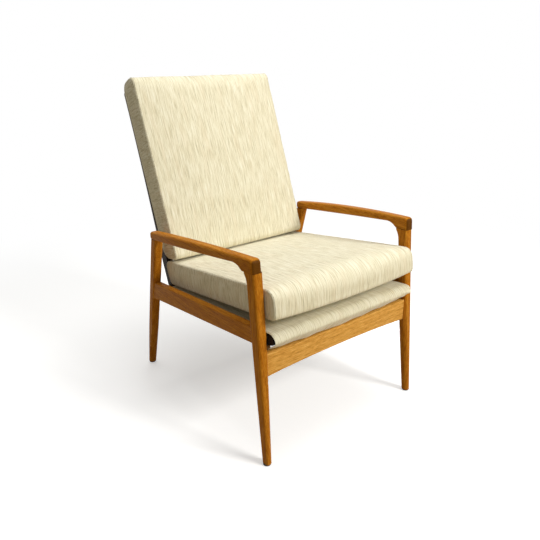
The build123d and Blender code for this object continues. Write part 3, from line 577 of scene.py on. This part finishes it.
def piping(name, loops, surface, material, radius=0.0016, sunk=0.35, sides=8, pitch=0.004):
    """Seam ridge: a thin roll along closed loops on a surface, sunk by a share of its radius."""
    verts, faces = [], []
    for loop in loops:
        spots = []
        for spot in even_loop(smooth_loop(loop), pitch):
            near, normal, _, _ = surface.find_nearest(spot)
            spots.append((near - normal * sunk * radius, normal))
        base = len(verts)
        count = len(spots)
        for i, (spot, normal) in enumerate(spots):
            along = (spots[(i + 1) % count][0] - spots[i - 1][0]).normalized()
            side = along.cross(normal).normalized()
            lift = side.cross(along).normalized()
            swell = 1 + 0.10 * noise.noise(spot * 160)
            for k in range(sides):
                a = 2 * pi * k / sides
                verts.append(spot + (side * cos(a) + lift * sin(a)) * radius * swell)
        for i in range(count):
            here, there = base + i * sides, base + (i + 1) % count * sides
            for k in range(sides):
                after = (k + 1) % sides
                faces.append((here + k, here + after, there + after, there + k))
    obj = new_object(name, verts, faces, [material])
    outward(obj)
    return obj


def stitches(name, loops, surface, material, inward=0.0055, pitch=0.0042, length=0.0030,
             radius=0.00042, sides=5):
    """Rows of small stitches beside closed loops, nearer the middle by inward. Each is a short roll
    whose stations have a place along it, a share of its radius and a rise in radii."""
    stations = ((-0.5, 0.45, -1.3), (-0.3, 1, 0.1), (0.3, 1, 0.1), (0.5, 0.45, -1.3))
    verts, faces = [], []
    for loop in loops:
        spots = even_loop(smooth_loop(loop), pitch)
        count = len(spots)
        for i, spot in enumerate(spots):
            along = (spots[(i + 1) % count] - spots[i - 1]).normalized()
            offset = Vector((-inward if spot.x > 0 else inward, 0, 0))
            near, normal, _, _ = surface.find_nearest(spot + offset)
            side = along.cross(normal).normalized()
            base = len(verts)
            for place, swell, rise in stations:
                centre = near + along * length * place + normal * radius * rise
                for k in range(sides):
                    a = 2 * pi * k / sides
                    verts.append(centre + (side * cos(a) + normal * sin(a)) * radius * swell)
            for row in range(len(stations) - 1):
                for k in range(sides):
                    a = base + row * sides + k
                    b = base + row * sides + (k + 1) % sides
                    faces.append((a, b, b + sides, a + sides))
            last = base + sides * (len(stations) - 1)
            faces.append(tuple(range(base, base + sides)))
            faces.append(tuple(range(last, last + sides)))
    obj = new_object(name, verts, faces, [material])
    outward(obj)
    return obj


def sew(pad, seams, side_material, prefix):
    """Put seam ridges and topstitching on a cushion."""
    surface = surface_of(pad)
    ridges = piping(prefix + "_seam_ridges", seams, surface, side_material)
    rows = stitches(prefix + "_topstitching", seams, surface, thread)
    for piece in (ridges, rows):
        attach(piece, "seat_unit")


# Seat cushion: its underside sags onto the deck cloth and keeps clear of it by cloth_gap. In its frame
# Y runs backward from the front face and Z up from the underside.

seat_length = 566.0
seat_boxing = 78.0
seat_rear_lean = 16.6
seat_sag = 7
belly_start = 150
cloth_gap = 0.4
deck_turn = radians(seat_lean - deck_lean)
deck_origin = seat_inverse @ deck_frame.translation


def deck_in_seat(along):
    """Height in the seat's frame at which the underside rests."""
    return deck_origin.z + (along - deck_origin.y) * tan(deck_turn) + cloth_gap / cos(deck_turn)


def seat_section(share):
    crown = crown_of(share)
    spread = 1 - (1 - crown) ** 2
    rear, belly = deck_in_seat(seat_length) * spread, deck_in_seat(belly_start) * spread
    points = [Vector(p) for p in (
        (0, -seat_sag * crown), (0, seat_boxing), (seat_length + seat_rear_lean, seat_boxing),
        (seat_length, rear), (belly_start, belly))]
    radii = (13, 24, 18, 18, 375)
    bows = (3.0, 8.5 * crown + 0.5, 4, 0, 0)
    return ring_of(points, radii, bows, steps=(7, 56, 7, 40, 11))


seat_pad, seat_seams, seat_seam = boxed_cushion(
    "seat_cushion_cover", seat_frame, seat_section, [cream_main, seat_side],
    bulge=3.0, axis=0, low=40, high=535, level=36)


def seat_held(co):
    """The underside, the rear end and the rows beside the seams stay put."""
    spot = seat_inverse @ co
    if spot.z < 12 or abs(seat_seam - abs(spot.x)) < 5:
        return 1.0
    return run_share(spot.y, 470, 505)


def seat_pucker(spot):
    show = 1 - run_share(spot.y, 480, 505) if spot.z > 14 else 0.0
    return show, 1.1, (spot.y * 0.055, spot.z * 0.05, spot.x * 0.02)


puff(seat_pad, seat_held)
pucker(seat_pad, seat_inverse, seat_seam, seat_pucker, widest=265.2)
subdivide(seat_pad)
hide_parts("seat_cushion")
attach(seat_pad, "seat_unit")
sew(seat_pad, seat_seams, seat_side, "seat")


# Back cushion: its lower end follows the seat cushion's top and is raised off it by cloth_gap. In its
# frame Y runs backward from the front face and Z up from the lower end.

back_length = 581.0
back_boxing = 87.0
back_sag = 1.4
back_rise = back_boxing * tan(radians(back_lean - seat_lean))


def back_section(share):
    crown = crown_of(share)
    points = [Vector(p) for p in (
        (0, -back_sag), (0, back_length), (back_boxing, back_length),
        (back_boxing, back_rise - back_sag))]
    radii = (17, 20, 28, 38)
    bows = (8.5 * crown + 0.5, 1.5 * crown + 3, 0, 4.5 * crown + 0.5)
    return ring_of(points, radii, bows, steps=(58, 6, 52, 4))


back_pad, back_seams, back_seam = boxed_cushion(
    "back_cushion_cover", back_frame @ Matrix.Translation((0, 0, cloth_gap)), back_section,
    [cream_main, back_side], bulge=5.5, axis=1, low=50, high=535, level=43)


def back_held(co):
    """The lower end, the rear face and the rows beside the seams stay put."""
    spot = back_inverse @ co
    beside = abs(spot.x) - back_seam
    if spot.z < 30 or (spot.y > 70 and beside < -5) or abs(beside) < 5:
        return 1.0
    return run_share(spot.z, 60, 30)


def back_pucker(spot):
    show = min(run_share(spot.z, 30, 70), run_share(spot.y, 75, 60))
    depth = 2.2 if abs(spot.x) > back_seam + 1 else 1.0
    return show, depth, (spot.z * 0.055, spot.y * 0.05, spot.x * 0.02 + 9)


puff(back_pad, back_held)
pucker(back_pad, back_inverse, back_seam, back_pucker)
subdivide(back_pad)
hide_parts("back_cushion")
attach(back_pad, "seat_unit")
sew(back_pad, back_seams, back_side, "back")


# Deck cloth: lies on the straps, wraps the front tube as a loose sleeve and ends in a wavy hem

deck_half = 261.0
deck_end = 527.0
hem_shares = [0.2, -0.6, 0.1, -0.8, 0.3, -0.2, -1.0, 0.0, -0.5, 0.4, -0.7, -0.1, 0.3]
hem_level, hem_dip, hem_wave = -47.5, 8, 3
fall_start = -22  # below it the sleeve is drawn down to the hem
profile_end = Vector((3, -50))
tube_middle = Vector((-14, -19))
least_room, loose_depth, crease_depth = 0.9, 1.5, 0.9
pleat_width, pleat_depth = 60, 1.6
end_bulge, end_draw, end_flat = 5.2, 0.24, 4.4


def hem_at(x):
    """Height of the hem at a place across, with waves that pass through hem_shares."""
    place = (x + deck_half) / (2 * deck_half) * (len(hem_shares) - 1)
    i = min(len(hem_shares) - 2, max(0, int(place)))
    part = eased(run_share(place, i, i + 1))
    dip = hem_dip * (1 - (x / deck_half) ** 2)
    return hem_level - dip + hem_wave * (hem_shares[i] * (1 - part) + hem_shares[i + 1] * part)


def sleeve_profile():
    """Open side section of the deck cloth's outer face, from its rear end round to the hem."""
    line = [Vector((deck_end - 13 * i, 0)) for i in range(39)]
    line += [Vector((u, 0)) for u in (16, 10, 4)]
    top, front = Vector((-24, 0)), Vector((-35, -21))
    line += arc(*rounded_corner(top, Vector((60, 0)), front, 22), [k / 9 for k in range(10)])
    turned = arc(*rounded_corner(front, top, profile_end, 9), [k / 6 for k in range(7)])
    line.append(line[-1].lerp(turned[0], 0.5))
    line += turned
    line += [turned[-1].lerp(profile_end, k / 13) for k in range(1, 14)]
    return line


def sleeve_place(x, share, spot):
    """Where a place of the profile lies at x: loose, creased and pleated toward the front, and by a
    share less than 1 drawn in toward the tube."""
    front = eased(run_share(spot.x, 26, 4))
    place = spot.copy()
    if spot.y < fall_start:
        fall = (spot.y - fall_start) / (profile_end.y - fall_start)
        place.y = fall_start + (hem_at(x) - fall_start) * fall
    loose = noise.noise(Vector((x * 0.022, place.x * 0.03, place.y * 0.03 + 4)))
    crease = noise.noise(Vector((x * 0.075, place.y * 0.018, 8)))
    out = (place - tube_middle).normalized()
    low = run_share(place.y, 0, -20)
    place += out * front * (loose * loose_depth + crease * crease_depth * low + least_room)
    pleat = (x - deck_half + pleat_width) / pleat_width
    if pleat > 0:
        place += out * front * pleat * pleat_depth * sin(place.y * 0.35 + x * 0.11)
    place = place.lerp(tube_middle + (place - tube_middle) * share, front)
    edge = deck_half - 1
    wide = x if x < edge else edge + (x - edge) * front
    return deck_frame @ Vector((wide, place.x, place.y))


profile = sleeve_profile()
runs = [0.0]
for before, after in zip(profile, profile[1:]):
    runs.append(runs[-1] + (after - before).length)
rows = [(-deck_half + 2 * deck_half * i / 90, 1.0) for i in range(90)]
# The left end stays open. The right one rounds over its edge and draws in across the tube's end.
for turned in (0, 20, 40, 60, 75, 90):
    a = radians(turned)
    rows.append((deck_half - 1 + end_bulge * sin(a), 1 - (1 - cos(a)) * end_draw))
for share in (0.60, 0.42, 0.25):
    rows.append((deck_half + end_flat, share))
verts = [sleeve_place(x, share, spot) for x, share in rows for spot in profile]
length = len(profile)
faces = []
for r in range(len(rows) - 1):
    for k in range(length - 1):
        a = r * length + k
        faces.append((a, a + 1, a + 1 + length, a + length))
deck = new_object("deck_cloth_sleeve", verts, faces, [cream_main])
keep_wrap(deck, [(x, run) for x, share in rows for run in runs])
outward(deck, merge=0.00001, open_sheet=True)
shell = deck.modifiers.new("thickness", "SOLIDIFY")
shell.thickness = 0.0018
shell.offset = -1
subdivide(deck)
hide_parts("seat_deck_cloth")
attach(deck, "seat_unit")


# Floor: camera, glossy and transmission rays see it pale, with the shadow, and fading to white far out.
# The light that it throws back at the chair is warmer and dimmer.

backdrop = Material("pale_floor")
backdrop.tree.nodes.remove(backdrop.shader)


def floor_shader(kind, colour, **values):
    return backdrop.add(kind, {"Color": colour, **values}).outputs[0]


diffuse = floor_shader("ShaderNodeBsdfDiffuse", darker(white, 0.86))
glow = floor_shader("ShaderNodeEmission", white, Strength=0.42)
lit = backdrop.add("ShaderNodeAddShader", {0: diffuse, 1: glow}).outputs[0]
distance = backdrop.add("ShaderNodeVectorMath", {0: backdrop.place}, operation="LENGTH")
fade = backdrop.add("ShaderNodeMapRange",
                    {"Value": distance.outputs["Value"], "From Min": 1.1, "From Max": 2.2},
                    interpolation_type="SMOOTHSTEP").outputs[0]
shown = backdrop.mix_shaders(fade, lit, floor_shader("ShaderNodeEmission", white, Strength=1.0))
bounced = floor_shader("ShaderNodeBsdfDiffuse", (0.44, 0.36, 0.22))
output = next(node for node in backdrop.tree.nodes if node.type == "OUTPUT_MATERIAL")
backdrop.put(output.inputs["Surface"], backdrop.mix_shaders(backdrop.plain_rays(), bounced, shown))
bm = bmesh.new()
bmesh.ops.create_grid(bm, x_segments=8, y_segments=8, size=14)
floor_mesh = bpy.data.meshes.new("floor")
bm.to_mesh(floor_mesh)
bm.free()
floor_mesh.materials.append(backdrop.mat)
floor = link_object("floor", floor_mesh)
floor.location = (0, 0, -0.6 * mm)


# Light and camera

world = bpy.data.worlds.new("studio")
bpy.context.scene.world = world
world.use_nodes = True
studio = Graph(world.node_tree)
sky = world.node_tree.nodes["Background"]
studio.put(sky.inputs["Color"], (1.0, 0.98, 0.92))
studio.put(sky.inputs["Strength"], 0.30)
plain = studio.add("ShaderNodeBackground", {"Color": white, "Strength": 1.0})
surroundings = studio.mix_shaders(studio.plain_rays(), sky.outputs[0], plain.outputs[0])
studio.put(world.node_tree.nodes["World Output"].inputs["Surface"], surroundings)


def lamp(name, size, watts, spot, aim, colour=white):
    light = bpy.data.lights.new(name, "AREA")
    light.size = size
    light.energy = watts
    light.color = colour
    obj = link_object(name, light)
    obj.location = spot
    obj.rotation_euler = (Vector(aim) - Vector(spot)).to_track_quat("-Z", "Y").to_euler()


lamp("key_light", 1.1, 114, spot=(1.35, -3.2, 2.5), aim=(0, 0, 0.5), colour=(1.0, 0.985, 0.96))
lamp("top_light", 2.0, 54, spot=(0.4, 0.2, 3.4), aim=(0, 0, 0.4))

# The camera that was fitted to the photo: its place, its right and the way it looks
eye = Vector((-0.9762, -0.9339 + shift_y, 1.027))
right = Vector((0.7956, -0.6058, -0.0101)).normalized()
backward = -Vector((0.5603, 0.7420, -0.3680)).normalized()
up = backward.cross(right).normalized()
camera_data = bpy.data.cameras.new("camera")
camera_data.lens = 35.63
camera_data.sensor_width = 36
camera = link_object("camera", camera_data)
camera.matrix_world = Matrix.Translation(eye) @ Matrix((right, up, backward)).transposed().to_4x4()
bpy.context.scene.camera = camera
bpy.context.scene.view_settings.view_transform = "Standard"
